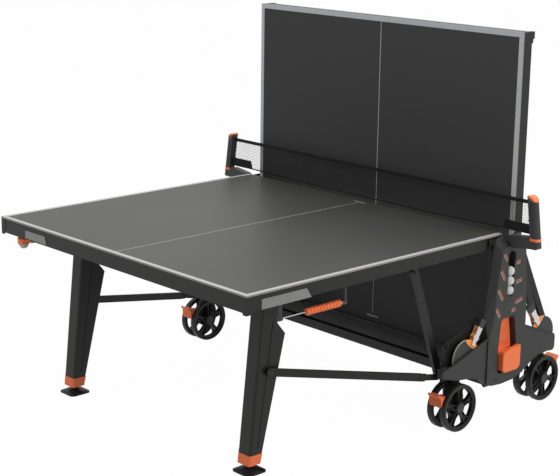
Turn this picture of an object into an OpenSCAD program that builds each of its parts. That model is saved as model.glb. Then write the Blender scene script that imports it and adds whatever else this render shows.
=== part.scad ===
// Outdoor ping pong table that folds in two halves about a wheeled undercarriage.
// The near half is down for play and the far half stands up as a rebound wall.
// X runs along the net, -Y towards the near end, Z up. Millimetres.

/* [Top] */
// Length of one half of the playing surface
half_l = 1370; // [1350:5:1370]
// Width of the playing surface
top_w = 1525; // [1515:5:1525]
// Height of the playing surface above the floor
top_z = 760; // [756:1:764]
// Thickness of the laminate board
board_t = 7; // [5:1:8]
// Distance from the net to the inner edge of a half in play
net_gap = 15; // [14:1:18]
// Height of the side aprons below the board
side_apron_h = 51; // [46:1:54]
// Height of the end aprons below the board
end_apron_h = 58; // [54:1:60]

/* [Fold] */
// Distance from the net to the playing surface of a stowed half
fold_gap = 56; // [52:1:60]
// Height of the inner edge of a stowed half
fold_z = 188; // [184:1:192]
// Depth of the roller pin below the playing surface
roller_w = 30; // [28:1:32]
// Distance from the inner edge to the strut's upper pivot
strut_u = 476; // [470:1:482]
// Depth of the strut's upper pivot below the playing surface
strut_w = 85; // [82:1:88]
// Height of the strut's lower pivot
strut_z = 229; // [227:1:231]
// Distance from the net to the tie bar's lower pivot
bar_y = 352; // [346:1:360]

/* [Legs] */
// Distance from the inner edge to the leg hinge
leg_u = 1085; // [1080:1:1090]
// Depth of the leg hinge below the playing surface
leg_w = 88; // [86:1:90]
// Half distance between the legs' centres
leg_x = 556; // [550:1:560]
// Width of a leg
leg_wide = 68; // [64:1:70]
// Lean of a leg's front plate in play
leg_lean = 5.9; // [5:0.1:6.5]
// Distance down the leg from its hinge to the tie bar's pivot
bar_drop = 287; // [280:1:294]
// Width of a foot pad
foot_w = 99; // [80:1:104]

/* [Undercarriage] */
// Outer face of a side housing
tower_x = 806; // [804:1:808]
// Height of a side housing
tower_z = 750; // [746:1:752]
// Outer face of a wing
wing_x = 800; // [798:1:801]
// Distance from the net to a caster's swivel axis
caster_y = 272; // [268:1:282]
// Distance from the middle to a caster's swivel axis
caster_x = 769; // [769:0.5:771]
// How far a caster's axle trails its swivel axis
caster_trail = 17; // [14:1:20]
// Radius of a caster wheel
wheel_r = 97.5; // [95:0.5:98]
// Height of the underside of the two cross beams
beam_z = 127; // [125:1:129]

/* [Net and accessories] */
// Height of the top of the net
net_z = 915; // [905:1:920]
// Diameter of a ball
ball_d = 40; // [38:1:40]
// Number of beads on the score counter
bead_count = 11; // [9:1:12]

/* [Hidden] */

$fn = 48;
eps = 0.01;
LEFT = -1;
RIGHT = 1;
FRONT = -1;
REAR = 1;

black = "#23231f";
graphite = "#3a3a38";
slate = "#5a5a57";
orange = "#d9683f";
tan_edge = "#8c8478";
steel = "#b9b9b4";
white = "#efefec";

// A point of a half's side view, as [distance from the net, height]
function in_play(u, w) = [net_gap + u, top_z - w];
function in_stow(u, w) = [fold_gap + w, fold_z + u];
function turned(p, a) = [p[0] * cos(a) - p[1] * sin(a), p[0] * sin(a) + p[1] * cos(a)];
function middle(p, q) = (p + q) / 2;
function bearing(p, q) = atan2(q[1] - p[1], q[0] - p[0]);
function gap(p, q) = norm(q - p);
// Points on an arc about c, from angle a to angle b
function arc(c, r, a, b, steps = 8) = [for (i = [0:steps]) c + r * [cos(a + (b - a) * i / steps),
    sin(a + (b - a) * i / steps)]];

// The roller pin keeps one distance from the net, so its track is upright
roller_u = fold_gap + roller_w - net_gap;
track_y = fold_gap + roller_w;
track_z = [fold_z + roller_u, top_z - roller_w];

// Leg hinge and tie bar pivot of a leg, in play and stowed
leg_play = in_play(leg_u, leg_w);
leg_stow = in_stow(leg_u, leg_w);
bar_on_leg = [25, -bar_drop];
bar_end_play = leg_play + bar_on_leg;
bar_end_stow = leg_stow + turned(bar_on_leg, -leg_lean);

// The tie bar's lower pivot is as far from its upper end in play as stowed
bar_mid = middle(bar_end_play, bar_end_stow);
bar_move = bar_end_stow - bar_end_play;
bar_pin = [bar_y, bar_mid[1] - (bar_y - bar_mid[0]) * bar_move[0] / bar_move[1]];

// So is the strut's lower pivot from its upper end
strut_end_play = in_play(strut_u, strut_w);
strut_end_stow = in_stow(strut_u, strut_w);
strut_mid = middle(strut_end_play, strut_end_stow);
strut_move = strut_end_stow - strut_end_play;
strut_pin = [strut_mid[0] - (strut_z - strut_mid[1]) * strut_move[1] / strut_move[0], strut_z];

// Lanes across the table, from the middle outwards
half_w = top_w / 2;
strut_lane = [716, 731];
bar_lane_in = [leg_x + leg_wide / 2 + 10, leg_x + leg_wide / 2 + 16];
bar_lane_out = [739, 745];
frame_lane = [766, 770];
rack_x = 770.5;
pocket_x = 775.5;
pin_r = 6;
run = 0.05;

// Slopes and section of a leg
leg_front_top = 46;
leg_slope = tan(leg_lean);
leg_rear_slope = 0.247;
leg_low = 40;
collar_top = 73;
collar_low = 34;
leg_drop = leg_play[1] - leg_low;
leg_wall = 3;
knee = [-60, -157];
hinge_r = 10;

// Caster
wheel_t = 28;
wheel_gap = 38;
axle_r = 6;
stem_r = 7;
fork_w = 34;
pedal_reach = 114;

// Net posts lean outwards towards the floor
post_top_x = [878, 914];
post_low_x = [908, 944];
post_top_z = 937;
post_low_z = 722;
post_t = 34;

slot_y = 3;
ball_x = 797;

bar_h = 31;
bar_end_r = 12;
rear_reach = caster_y - caster_trail + pedal_reach;
centre_y = (net_gap + half_l - rear_reach) / 2;

// ---------- placing ----------

module stand() {
    translate([0, centre_y, 0]) children();
}

module side_of(side) {
    mirror([side == LEFT ? 1 : 0, 0, 0]) children();
}

module end_of(end) {
    mirror([0, end == FRONT ? 1 : 0, 0]) children();
}

// A half drawn with its inner edge on the X axis, its surface at Z 0 and +Y outwards
module as_half(end) {
    stand() {
        if (end == FRONT) {
            translate([0, -net_gap, top_z]) mirror([0, 1, 0]) children();
        } else {
            translate([0, fold_gap, fold_z]) rotate([90, 0, 0]) children();
        }
    }
}

// A leg drawn about its hinge with +Y outwards
module as_leg(end) {
    p = end == FRONT ? leg_play : leg_stow;
    stand() end_of(end) translate([0, p[0], p[1]]) rotate([end == FRONT ? 0 : -leg_lean, 0, 0])
        children();
}

// A bar drawn along +Y from pivot p to pivot q of the side view
module as_link(end, p, q) {
    stand() end_of(end) translate([0, p[0], p[1]]) rotate([bearing(p, q), 0, 0]) children();
}

module as_caster(side, end) {
    translate([side * caster_x, centre_y + end * caster_y, 0]) children();
}

// Extrudes a Y-Z outline along X, from x0 to x1
module slab(x0, x1) {
    translate([x0, 0, 0]) rotate([90, 0, 90]) linear_extrude(x1 - x0) children();
}

module pin_x(x0, x1, r) {
    translate([x0, 0, 0]) rotate([0, 90, 0]) cylinder(h = x1 - x0, r = r);
}

module box(x, y, z) {
    translate([x[0], y[0], z[0]]) cube([x[1] - x[0], y[1] - y[0], z[1] - z[0]]);
}

module round_rect(w, h, r) {
    hull() {
        for (sx = [-1, 1], sy = [-1, 1]) translate([sx * (w / 2 - r), sy * (h / 2 - r)])
            circle(r = r, $fn = 32);
    }
}

module stadium(w, len) {
    square([w, len - w], center = true);
    for (s = [-1, 1]) translate([0, s * (len - w) / 2]) circle(d = w);
}

// ---------- table halves ----------

module board(end) {
    color(slate) as_half(end) box([-half_w, half_w], [0, half_l], [-board_t, 0]);
}

// Channel with its web outwards
module channel(web, h, flange, t) {
    difference() {
        translate([-flange, -h]) square([flange, h]);
        translate([-flange - eps, t - h]) square([flange - web + eps, h - 2 * t]);
    }
}

cap_x = 31;
cap_u = 47;
cap_low = 72;

module corner_cap() {
    face = 0.5;
    difference() {
        union() {
            box([half_w - cap_x, half_w - 1.5], [half_l - cap_u, half_l - 1.5],
                [-board_t - end_apron_h, -board_t]);
            slab(half_w - 20, half_w - face) translate([half_l, 0]) polygon(concat([[-face, -board_t],
                [face - cap_u, -board_t]], arc([-cap_u - 24, -70], 40, 50, 12),
                [[-28, -cap_low], [-face, -cap_low]]));
            translate([half_w, half_l - face, 0]) rotate([90, 0, 0]) linear_extrude(20) polygon(concat([
                [-face, -board_t], [face - cap_x, -board_t]], arc([-cap_x - 24, -66], 38, 50, 10),
                [[-15, -cap_low], [-face, -cap_low]]));
        }
        box([half_w - cap_x - 1, half_w - 5], [half_l - cap_u - 1, half_l - 5],
            [-cap_low - 1, -board_t - 4]);
    }
}

module end_apron(end) {
    reach = half_w - cap_x - 0.5;
    color(graphite) as_half(end) {
        translate([-reach, half_l - 2, -board_t]) rotate([90, 0, 90]) linear_extrude(2 * reach)
            channel(2.5, end_apron_h, 22, 2.5);
        for (side = [LEFT, RIGHT]) side_of(side) corner_cap();
    }
}

module side_aprons(end) {
    color(graphite) as_half(end) for (side = [LEFT, RIGHT]) side_of(side) difference() {
        translate([half_w - 2, half_l - cap_u - 0.5, -board_t]) rotate([90, 0, 0])
            linear_extrude(half_l - cap_u - 1) channel(2.5, side_apron_h, 20, 2.5);
        translate([0, roller_u, -roller_w]) pin_x(half_w - 10, half_w, pin_r + run);
    }
}

rail_t = 2.5;
rail_reach = 738;

module tube_x(len, w, h, t) {
    rotate([90, 0, 90]) linear_extrude(len) difference() {
        square([w, h]);
        translate([t, t]) square([w - 2 * t, h - 2 * t]);
    }
}

// Ear with a rounded end and a bore, hanging from the board's underside to a pivot
module ear(x0, x1, u, w, r, bore) {
    difference() {
        union() {
            box([x0, x1], [u - r, u + r], [-w, -board_t]);
            translate([0, u, -w]) pin_x(x0, x1, r);
        }
        if (bore > 0) translate([0, u, -w]) pin_x(x0 - 1, x1 + 1, bore);
    }
}

module rails(end) {
    color(black) as_half(end) {
        difference() {
            translate([-rail_reach, 4, -board_t - 24]) tube_x(2 * rail_reach, 30, 24, rail_t);
        }
        translate([-rail_reach, strut_u - 20, -board_t - 30]) tube_x(2 * rail_reach, 40, 30, rail_t);
        translate([-rail_reach, leg_u + 24, -board_t - 30]) tube_x(2 * rail_reach, 40, 30, rail_t);
        for (side = [LEFT, RIGHT]) side_of(side) {
            // Ear of the roller pin, joined to the inner rail
            ear(731, 737, roller_u, roller_w, 16, pin_r + run);
            box([731, 737], [30, roller_u - 8], [-board_t - 24, -board_t]);
            // Bracket that takes the strut's upper pin
            ear(strut_lane[0] - 7, strut_lane[0] - 2, strut_u, strut_w, 16, 0);
            // Hinge plates of a leg
            for (x = [leg_x - leg_wide / 2 - 7, leg_x + leg_wide / 2 + 2]) {
                ear(x, x + 5, leg_u, leg_w, 18, hinge_r + run);
                box([x, x + 5], [leg_u, leg_u + 30], [-board_t - 30, -board_t]);
            }
        }
    }
}

module rollers(end) {
    color(steel) as_half(end) for (side = [LEFT, RIGHT]) side_of(side)
        translate([0, roller_u, -roller_w]) {
        pin_x(726, frame_lane[0], pin_r);
        pin_x(frame_lane[0] - 1.5, frame_lane[1] + 0.2, 8);
        pin_x(frame_lane[0] - 3.5, frame_lane[0] - 0.3, 11);
    }
}

// ---------- legs ----------

function leg_front(z) = leg_front_top - z * leg_slope;
function leg_rear(z) = knee[0] - (z - knee[1]) * leg_rear_slope;

module leg_outline(grow = 0) {
    polygon([[leg_front(22) + grow, 22], [leg_front(-leg_drop) + grow, -leg_drop],
        [leg_rear(-leg_drop) - grow, -leg_drop], [leg_rear(knee[1]) - grow, knee[1]],
        [-22 - grow, -112], [-18 - grow, 22]]);
}

// Rounds the two front edges of a leg along their whole length
module leg_round(grow = 0) {
    r = 9 + grow;
    w = leg_wide / 2 + grow;
    rotate([leg_lean, 0, 0]) translate([0, leg_front_top * cos(leg_lean) + grow, -leg_drop - 80])
        linear_extrude(leg_drop + 200) {
        translate([-w, -200]) square([2 * w, 200 - r]);
        translate([r - w, -200]) square([2 * w - 2 * r, 200]);
        for (s = [-1, 1]) translate([s * (w - r), -r]) circle(r = r);
    }
}

module leg_groove() {
    low = [leg_front(90 - leg_play[1]) - 32, 104 - leg_play[1]];
    high = [leg_front(-98) - 50, -98];
    len = gap(low, high);
    translate(low) rotate(bearing(low, high)) {
        translate([0, -7]) square([len, 14]);
        circle(r = 7);
    }
}

module leg(side, end) {
    w = leg_wide / 2;
    color(black) as_leg(end) {
        side_of(side) {
            translate([leg_x, 0, 0]) difference() {
                intersection() {
                    slab(-w, w) leg_outline();
                    leg_round();
                }
                translate([0, -leg_wall, 0]) slab(leg_wall - w, w - leg_wall) {
                    polygon([[leg_front(30), 30], [leg_front(-leg_drop - 9), -leg_drop - 9],
                        [-90, -leg_drop - 9], [-90, 30]]);
                }
                slab(w - 1.6, w + 1) leg_groove();
                slab(-w - 1, 1.6 - w) leg_groove();
            }
            // Foot plate inside the leg, above the collar
            translate([leg_x, 0, 0]) difference() {
                z = collar_top + 6 - leg_play[1];
                box([leg_wall - w - 0.5, w - leg_wall + 0.5], [leg_rear(z) + 1, leg_front(z) - 1],
                    [z, z + 5]);
                translate([0, foot_out, z - 1]) cylinder(r = stem_r_foot + run, h = 10);
            }
            // Hinge journal through the leg and its two plates
            pin_x(leg_x - w - 9, leg_x + w + 9, hinge_r);
        }
        if (side == RIGHT) {
            pin_x(-leg_x + w + 9.5, leg_x - w - 9 + eps, 12);
        }
    }
}

foot_out = 80;
stem_r_foot = 6;

module collars(end) {
    w = leg_wide / 2 + 1.5;
    low = collar_low - leg_play[1];
    high = collar_top - leg_play[1];
    color(orange) as_leg(end) for (side = [LEFT, RIGHT]) side_of(side) translate([leg_x, 0, 0])
        difference() {
        intersection() {
            slab(-w, w) polygon([[leg_front(high) + 1.5, high], [leg_front(low) + 1.5, low],
                [leg_rear(low) - 1.5, low], [leg_rear(high) - 1.5, high]]);
            leg_round(1.5);
        }
        // Socket that the leg's end stands in
        intersection() {
            slab(-leg_wide / 2 - run, leg_wide / 2 + run) polygon([[leg_front(high + 1) + run, high + 1],
                [leg_front(-leg_drop) + run, -leg_drop], [leg_rear(-leg_drop) - run, -leg_drop],
                [leg_rear(high + 1) - run, high + 1]]);
            leg_round(run);
        }
        translate([0, foot_out, low - 1]) cylinder(r = stem_r_foot + run, h = 20);
    }
}

module foot(side, end) {
    floor_z = -leg_play[1];
    color(black) as_leg(end) side_of(side) translate([leg_x, foot_out, floor_z]) {
        linear_extrude(5) round_rect(foot_w, foot_w, 20);
        hull() {
            translate([0, 0, 4.9]) linear_extrude(0.1) round_rect(foot_w - 1, foot_w - 1, 20);
            translate([0, 0, 13]) cylinder(r = 36, h = 0.1, $fn = 32);
            translate([0, 0, 19]) cylinder(r = 18, h = 0.1, $fn = 32);
        }
        translate([0, 0, 19]) cylinder(r = 15, h = 12);
        cylinder(r = stem_r_foot, h = 100);
    }
}

// ---------- links ----------

module tie_bar(side, end) {
    q = end == FRONT ? bar_end_play : bar_end_stow;
    len = gap(bar_pin, q);
    x_low = bar_lane_out[0];
    x_high = bar_lane_in[0];
    h = bar_h;
    color(black) as_link(end, bar_pin, q) side_of(side) {
        difference() {
            union() {
                pin_x(x_low, bar_lane_out[1], bar_end_r);
                box([x_low, bar_lane_out[1]], [0, 92], [-bar_end_r, bar_end_r]);
                box([x_low, bar_lane_out[1]], [76, 106], [-h / 2, h / 2]);
                box([x_high, bar_lane_in[1]], [len - 30, len], [-h / 2, h / 2]);
                // Straight tube that crosses from the lane of one end to that of the other
                translate([0, 0, -h / 2]) linear_extrude(h) polygon([[x_low - 6, 97], [x_low + 6, 97],
                    [x_high + 6, len - 16], [x_high, len - 16]]);
                translate([0, len, 0]) pin_x(leg_x + leg_wide / 2 + 0.5, x_high + 1, pin_r);
                translate([0, len, 0]) pin_x(x_high, bar_lane_in[1], h / 2);
            }
            pin_x(x_low - 1, bar_lane_out[1] + 1, pin_r + run);
        }
    }
}

module strut(side, end) {
    q = end == FRONT ? strut_end_play : strut_end_stow;
    len = gap(strut_pin, q);
    w = 34;
    color(black) as_link(end, strut_pin, q) side_of(side) {
        difference() {
            union() {
                box(strut_lane, [0, len], [-w / 2, w / 2]);
                pin_x(strut_lane[0], strut_lane[1], w / 2);
                translate([0, len, 0]) pin_x(strut_lane[0], strut_lane[1], w / 2);
                translate([0, len, 0]) pin_x(strut_lane[0] - 1.5, strut_lane[1] + 3, pin_r);
            }
            pin_x(strut_lane[0] - 1, strut_lane[1] + 1, pin_r + run);
            // The tube is open between its two end plugs
            box([strut_lane[0] + 2, strut_lane[1] - 2], [40, len - 40], [2 - w / 2, w / 2 - 2]);
        }
    }
}

// ---------- undercarriage ----------

module cross_beams() {
    color(black) stand() for (s = [-1, 1]) translate([-frame_lane[0], s * 57 - 15, beam_z])
        tube_x(2 * frame_lane[0], 30, s < 0 ? 38 : 58, 2.5);
}

// Lower edge of a side housing, front to rear, clear of the swivelling wheels
low_edge = [[-386, 238], [-300, 212], [-215, 202], [-140, 179], [-124, 157], [-92, 142], [-30, 137],
    [45, 140],
    [111, 158], [142, 170], [172, 186], [222, 205], [283, 209], [331, 204]];

module side_frame(side) {
    top = tower_z - 5;
    color(black) stand() side_of(side) {
        difference() {
            union() {
                slab(frame_lane[0], frame_lane[1]) polygon([[-100, top], [-106, 262], [-366, 246],
                    [-366, 211],
                    [-300, 211], [-215, 207], [-139, 184], [-124, 164], [-92, beam_z - 1],
                    [92, beam_z - 1],
                    [142, 178], [172, 194], [222, 209], [340, 210], [366, 212], [366, 246], [106, 262],
                    [100, top]]);
                for (end = [FRONT, REAR]) translate([caster_x, end * caster_y, 205])
                    cylinder(r = 13, h = 24);
            }
            for (s = [-1, 1]) slab(frame_lane[0] - 1, frame_lane[1] + 1)
                translate([s * track_y, (track_z[0] + track_z[1]) / 2])
                    stadium(16.6, 16.6 + track_z[1] - track_z[0]);
            slab(frame_lane[0] - 1, frame_lane[1] + 1) translate([-32, 470]) square([70, 230]);
            for (end = [FRONT, REAR]) translate([caster_x, end * caster_y, 200])
                cylinder(r = stem_r + run, h = 25);
        }
        for (end = [FRONT, REAR]) end_of(end) {
            translate([0, bar_pin[0], bar_pin[1]]) pin_x(bar_lane_out[0] - 3, frame_lane[0] + 1, pin_r);
            translate([0, strut_pin[0], strut_pin[1]]) pin_x(strut_lane[0] - 3, frame_lane[0] + 1, pin_r);
        }
    }
}

column = [-121, 115];
waist_z = 330;
shoulder_z = 438;

// Base of the tower, below its waist
module column_outline(inset = 0) {
    polygon([[column[0] + inset, waist_z + eps], [column[0] + inset, 156 + inset], [-92, 142 + inset],
        [-30, 137 + inset], [45, 140 + inset], [column[1] - inset, 159 + inset],
        [column[1] - inset, waist_z + eps]]);
}

// Joins an outline at the base plane to one at the outer face
module bevelled(inset) {
    hull() {
        slab(rack_x - inset / 4, rack_x + 0.5) children(0);
        slab(tower_x - inset - 0.5, tower_x - inset) children(1);
    }
}

// The tower stands straight to its waist, then tapers with bevelled edges to a hipped top
module tower_form(inset = 0) {
    slab(rack_x - inset / 4, tower_x - inset) column_outline(inset);
    bevelled(inset) {
        polygon([[column[0] + inset, waist_z], [inset - 115, shoulder_z + eps],
            [118 - inset, shoulder_z + eps],
            [column[1] - inset, waist_z]]);
        polygon([[column[0] + inset, waist_z], [inset - 88, shoulder_z + eps],
            [114 - inset, shoulder_z + eps],
            [column[1] - inset, waist_z]]);
    }
    bevelled(inset) {
        polygon([[inset - 115, shoulder_z], [inset - 98, 538], [inset - 67, 727],
            [inset - 58, tower_z - 6 - inset],
            [-48, tower_z - inset], [80, tower_z - inset], [93 - inset, tower_z - 8 - inset],
            [99 - inset, 690],
            [112 - inset, 538], [118 - inset, shoulder_z]]);
        polygon([[inset - 88, shoulder_z], [inset - 84, 538], [inset - 58, 690], [inset - 56, 697],
            [-34, 714 - inset],
            [66, 714 - inset], [91 - inset, 700 - inset], [93 - inset, 690], [106 - inset, 538],
            [114 - inset, shoulder_z]]);
    }
}

// Outlines of the two wings; lift raises the floor and trim shortens the tips
module wing_outlines(lift = 0, trim = 0, over = 0) {
    polygon(concat([for (i = [0:5]) low_edge[i] + [i == 0 ? trim : 0, lift]],
        [[-92, 350 + over], [-130, 347 + over],
        [-330, 281 + over], [-388 + trim, 272 + over]]));
    polygon(concat([for (i = [7:12]) low_edge[i] + [0, lift]],
        arc([312 - trim, 224 + lift], 20, -70, 0, 5),
        arc([312 - trim, 262 + over], 20, 0, 65, 5), [[289, 291 + over], [118, 361 + over],
            [60, 370 + over]]));
}

recess_z = [184, 416];
recess_in = 771;
lever_z = 402;
lever_x = 777.5;
channel_z = 508;

// Recess of the release lever, narrower at its top
module recess_outline(grow = 0) {
    polygon([[-45 - grow, recess_z[0] - grow], [58 + grow, recess_z[0] - grow],
        [62 + grow, recess_z[0] + 12],
        [60 + grow, 286], [41 + grow, 404], [31, recess_z[1] + grow], [-36, recess_z[1] + grow],
        [-45 - grow, 404],
        [-57 - grow, 286], [-57 - grow, recess_z[0] + 14]]);
}

module side_housing(side) {
    color(graphite) stand() side_of(side) lever_pin(3, -46, 43);
    color(graphite) stand() side_of(side) difference() {
        union() {
            difference() {
                union() {
                    tower_form();
                    slab(rack_x, wing_x) wing_outlines();
                }
                tower_form(4);
                // Pockets of the two wings, open at the top
                difference() {
                    slab(rack_x - 1, wing_x - 4) wing_outlines(5, 5, 90);
                    slab(rack_x - 2, tower_x) translate([column[0], 0])
                        square([column[1] - column[0], 900]);
                }
            }
            // Walls round the lever's recess
            slab(recess_in, tower_x - 1) recess_outline(3);
            // Ball channel: side walls, floor and back
            for (y = [slot_y - 24, slot_y + 21]) box([recess_in, tower_x - 1], [y, y + 3],
                [channel_z - 4, 708]);
            box([recess_in, tower_x - 1], [slot_y - 24, slot_y + 24], [channel_z - 4, channel_z]);
            box([recess_in, ball_x - ball_d / 2 - 0.5], [slot_y - 24, slot_y + 24], [channel_z - 4, 708]);
        }
        slab(recess_in - 1, tower_x + 1) recess_outline();
        // Slot that shows the balls, with a wider mouth at the top
        slab(tower_x - 6, tower_x + 1) translate([slot_y, 598]) stadium(39, 190);
        slab(tower_x - 6, tower_x + 1) translate([slot_y + 2, 664]) round_rect(46, 50, 16);
        // Seat of the net post's arm
        box([rack_x - 1, tower_x + 1], [-post_t / 2 - 0.5, post_t / 2 + 0.5], [731, tower_z + 1]);
        // Ways in for the caster sockets
        for (end = [FRONT, REAR]) translate([caster_x, end * caster_y, 180]) cylinder(r = 13.4, h = 80);
        // Small service hole
        translate([0, -62, 162]) pin_x(tower_x - 6, tower_x + 1, 4);
    }
}

// Pin across the recess that the release lever hangs from
module lever_pin(r, y0, y1) {
    translate([lever_x, y0, lever_z]) rotate([-90, 0, 0]) cylinder(r = r, h = y1 - y0);
}

// Front and rear back walls of the bat pockets, as Y-Z outlines
module rack_outline(end, inset = 0) {
    if (end == FRONT) {
        polygon([[-371 + inset, 366 - 1.4 * inset], [-371 + inset, 240 + inset],
            [-300 + inset, 219 + inset],
            [-215, 208 + inset], [-139, 185 + inset], [-128, 170 + inset],
            [column[0] - 1 - inset, 167 + inset],
            [column[0] - 1 - inset, 456 - 1.4 * inset]]);
    } else {
        polygon([[309 - inset, 262 - inset], [312 - inset, 217 + inset], [222, 212 + inset],
            [172, 194 + inset],
            [142, 178 + inset], [column[1] + 4 + inset, 169 + inset],
            [column[1] + 4 + inset, 350 - inset],
            [288, 283 - inset]]);
    }
}

// Triangles cut along the front wall's sloping top edge, which leave a truss
module truss_windows() {
    low = [-371, 366];
    high = [column[0], 456];
    pitch = gap(low, high) / 7;
    translate(low) rotate(bearing(low, high)) for (k = [0:6]) translate([k * pitch, -6])
        polygon(k % 2 == 0 ? [[5, 0], [pitch - 2, 0], [pitch / 2 + 1, -24]]
            : [[pitch / 2, -2], [pitch - 4, -24], [4, -24]]);
}

module bat_rack(side) {
    color(black) stand() side_of(side) for (end = [FRONT, REAR]) difference() {
        union() {
            slab(rack_x, rack_x + 2) difference() {
                rack_outline(end);
                truss_windows();
            }
            slab(rack_x, pocket_x) difference() {
                rack_outline(end);
                rack_outline(end, 4);
            }
        }
        translate([caster_x, end * caster_y, 180]) cylinder(r = 13.4, h = 80);
    }
}

// Face of the lever's pad, with its top edge rising to the rear
module pad_outline(inset = 0) {
    polygon(concat(arc([-22, 208], 20 - inset, 180, 270), arc([46, 212], 24 - inset, 270, 360),
        arc([60, 282], 10 - inset, 0, 96), arc([-26, 261], 16 - inset, 100, 180)));
}

// The lever fills its recess, hangs from its top and ends in a thick pad
module release_lever(side) {
    color(orange) stand() side_of(side) difference() {
        union() {
            slab(lever_x - 4, lever_x + 1.5) polygon([[-43, 230], [-53, 284], [-42.5, 398], [-33, 411],
                [28, 411],
                [38.5, 398], [57, 284], [56, 230]]);
            lever_pin(6, -40, 36);
            slab(lever_x - 4, tower_x + 4) translate([6.5, 232]) round_rect(99, 84, 18);
            hull() {
                slab(tower_x + 1.5, tower_x + 16.5) pad_outline();
                slab(tower_x + 16.5, tower_x + 19) pad_outline(4);
            }
        }
        lever_pin(3 + run, -50, 50);
    }
}

// ---------- casters ----------

module caster_fork(side, end) {
    color(black) as_caster(side, end) {
        difference() {
            union() {
                slab(-fork_w / 2, fork_w / 2) hull() {
                    translate([-caster_trail, wheel_r]) circle(r = 34, $fn = 32);
                    translate([0, 176]) circle(r = 20, $fn = 32);
                    translate([end * 8 - caster_trail, 164]) circle(r = 22, $fn = 32);
                }
                translate([0, 0, 186]) cylinder(r = 17, h = 14);
                translate([0, 0, 190]) cylinder(r = stem_r, h = 34);
            }
            translate([0, -caster_trail, wheel_r]) pin_x(-30, 30, axle_r + run);
            // Slot that the brake pedal's arm swings in
            translate([0, -caster_trail, wheel_r]) end_of(end) box([-11.5, 11.5], [16, 80], [22, 66]);
        }
        translate([0, -caster_trail, wheel_r]) end_of(end) translate([0, 26, 44]) pin_x(-12.5, 12.5, 4);
    }
}

hub_r = 25;
rim_r = 79;

// Five spokes, flared at the rim; trim thins them
module spoke_star(trim = 0) {
    for (k = [0:4]) rotate(k * 72) polygon([[hub_r - 8, trim - 9], [hub_r + 16, trim - 8],
        [rim_r - 20, trim - 10],
        [rim_r + 3, trim - 20], [rim_r + 3, 20 - trim], [rim_r - 20, 10 - trim], [hub_r + 16, 8 - trim],
        [hub_r - 8, 9 - trim]]);
}

module wheel(turn) {
    rotate([90, 0, 90]) {
        // Tyre and dished rim
        rotate_extrude($fn = 96) polygon(concat([[rim_r, 5], [86, 4], [89, 0.5]],
            arc([wheel_r - 5, 5], 5, -80, 0, 4), arc([wheel_r - 5, wheel_t - 5], 5, 0, 80, 4),
            [[89, wheel_t - 0.5], [86, wheel_t - 4], [rim_r, wheel_t - 5]]));
        rotate(turn) {
            translate([0, 0, wheel_t / 2 - 3]) linear_extrude(6) spoke_star();
            translate([0, 0, 4.5]) linear_extrude(wheel_t - 9) difference() {
                spoke_star();
                spoke_star(3);
            }
        }
        translate([0, 0, 2]) cylinder(r = hub_r, h = wheel_t - 4);
        translate([0, 0, wheel_t - 2.5]) cylinder(r = hub_r - 3, h = 2.5);
    }
}

module caster_wheels(side, end) {
    color(black) as_caster(side, end) translate([0, -caster_trail, wheel_r]) {
        for (s = [-1, 1]) side_of(s) translate([wheel_gap / 2, 0, 0]) wheel(end == FRONT ? 18 : 57);
        pin_x(-wheel_gap / 2 - 4, wheel_gap / 2 + 4, axle_r);
    }
}

// Side view of the brake shoe: it follows the tyres and turns out into a lip
module shoe_outline() {
    difference() {
        polygon([[88, 22], [99, 20], [102, 23], [103, 56], [pedal_reach, 70], [pedal_reach, 73],
            [pedal_reach - 3, 75],
            [96, 65], [74, 64], [70, 60]]);
        circle(r = wheel_r + 3, $fn = 120);
    }
}

module brake_pedal(side, end) {
    color(orange) as_caster(side, end) translate([0, -caster_trail, wheel_r]) end_of(end) difference() {
        union() {
            slab(-10, 10) polygon([[20, 50], [24, 36], [88, 28], [94, 60], [76, 62]]);
            translate([0, 26, 44]) pin_x(-10, 10, 9);
            intersection() {
                slab(-31, 31) shoe_outline();
                translate([0, 130, 48]) rotate([90, 0, 0]) linear_extrude(90) round_rect(62, 58, 12);
            }
        }
        translate([0, 26, 44]) pin_x(-30, 30, 4 + run);
    }
}

// ---------- net ----------

function post_x(z, k) = post_low_x[k] + (post_top_x[k] - post_low_x[k]) * (z - post_low_z)
    / (post_top_z - post_low_z);

// Front view of a post between two heights
module post_extrude(t) {
    translate([0, t / 2, 0]) rotate([90, 0, 0]) linear_extrude(t) children();
}

cap_z = 912;
band_z = [756, 767];
post_lean = atan2(post_low_x[0] - post_top_x[0], post_top_z - post_low_z);

// A post between two heights, with its outer edges rounded all the way up
module post_body(z0, z1, grow = 0) {
    w = (post_low_x[1] - post_low_x[0]) * cos(post_lean);
    past = 30;
    intersection() {
        post_extrude(post_t + 2 * grow + 6) polygon([[post_x(z0, 0) - grow, z0],
            [post_x(z0, 1) + past, z0],
            [post_x(z1, 1) + past, z1], [post_x(z1, 0) - grow, z1]]);
        translate([post_low_x[0], 0, post_low_z]) rotate([0, -post_lean, 0])
            translate([w / 2 - 4, 0, -50])
            linear_extrude(320) round_rect(w + 8 + 2 * grow, post_t + 2 * grow, 12 + grow);
    }
}

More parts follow.
